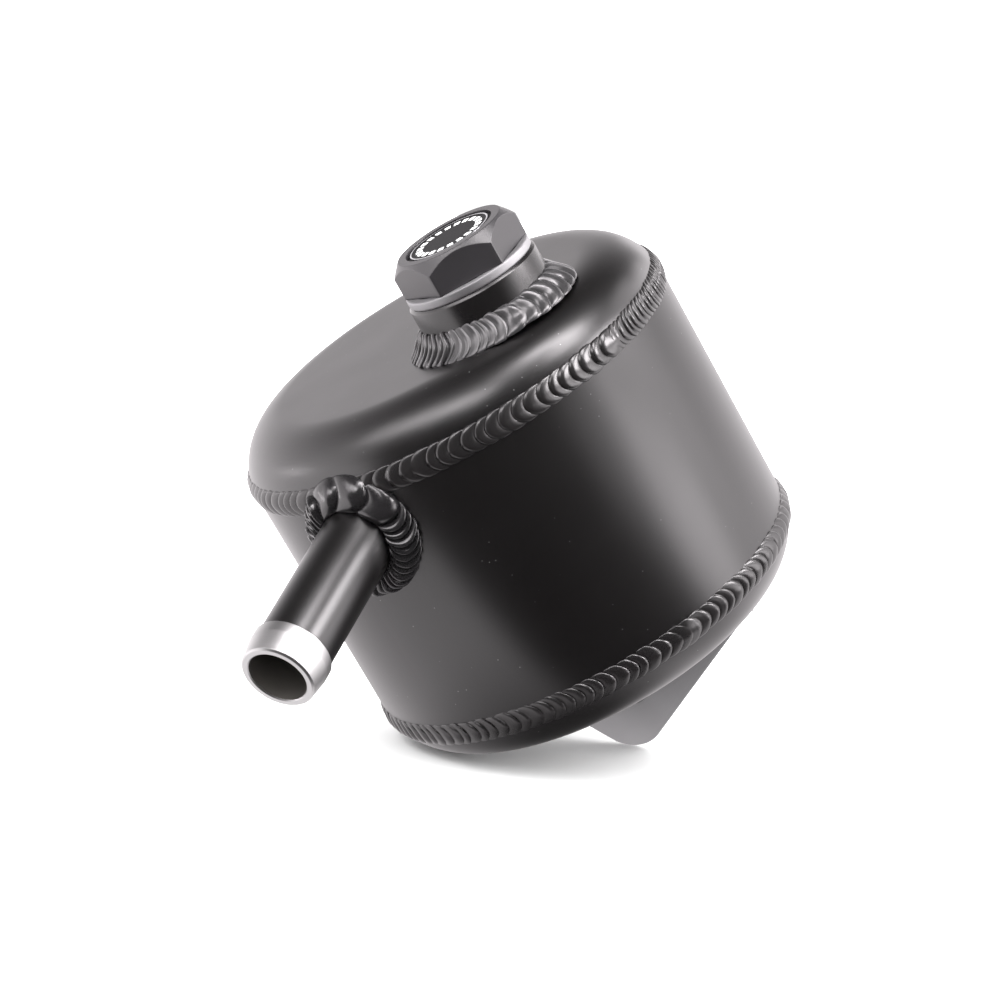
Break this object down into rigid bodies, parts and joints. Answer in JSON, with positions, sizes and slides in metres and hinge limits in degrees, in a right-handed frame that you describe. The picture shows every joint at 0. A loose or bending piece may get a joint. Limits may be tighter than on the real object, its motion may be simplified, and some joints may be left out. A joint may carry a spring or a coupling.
{
  "type": "oil catch can",
  "caption": "Round welded aluminium canister with rounded ends, a screwed hexagonal filler plug, hose tails and a drilled mounting tab.",
  "frame": {"origin": "centre of the mounting tab's bolt hole, on the can's own axis, below its base", "axes": "+Z along the can's axis towards the filler plug, Y square to the tab's plate along its bolt hole, X along the plate"},
  "size_m": [0.1265, 0.1594, 0.1312],
  "materials": {
    "anodised_shell": "satin",
    "anodised_weld": "satin",
    "anodised_plug": "satin",
    "anodised_tail": "satin",
    "anodised_tab": "satin",
    "washer_metal": "machined",
    "seal_rubber": "matt",
    "baffle_metal": "mill"
  },
  "bodies": {
    "root": {"can_body": "anodised_shell", "top_cap": "anodised_shell", "bottom_cap": "anodised_shell", "top_seam_weld": "anodised_weld", "bottom_seam_weld": "anodised_weld", "filler_boss": "anodised_plug", "filler_boss_weld": "anodised_weld", "inlet_tail": "anodised_tail", "inlet_tail_weld": "anodised_weld", "outlet_tail": "anodised_tail", "outlet_tail_weld": "anodised_weld", "mounting_tab": "anodised_tab", "tab_weld": "anodised_weld", "baffle_plate": "baffle_metal", "baffle_tacks": "baffle_metal"},
    "washer": {"plug_washer": "washer_metal", "washer_seal": "seal_rubber"},
    "plug": {"filler_plug": "anodised_plug", "plug_disc": "anodised_plug"}
  },
  "joints": [
    {"name": "plug_lift", "type": "slide", "parent": "root", "child": "washer", "axis": [0, 0, 1], "range_m": [0, 0.00975]},
    {"name": "plug_turn", "type": "hinge", "parent": "washer", "child": "plug", "pos_m": [0.0213, -0.00993, 0.1], "axis": [0, 0, 1], "range_deg": [0, 2340]}
  ],
  "couplings": [
    {"joint": "plug_lift", "follows": "plug_turn", "m_per_rad": 0.00023873}
  ]
}
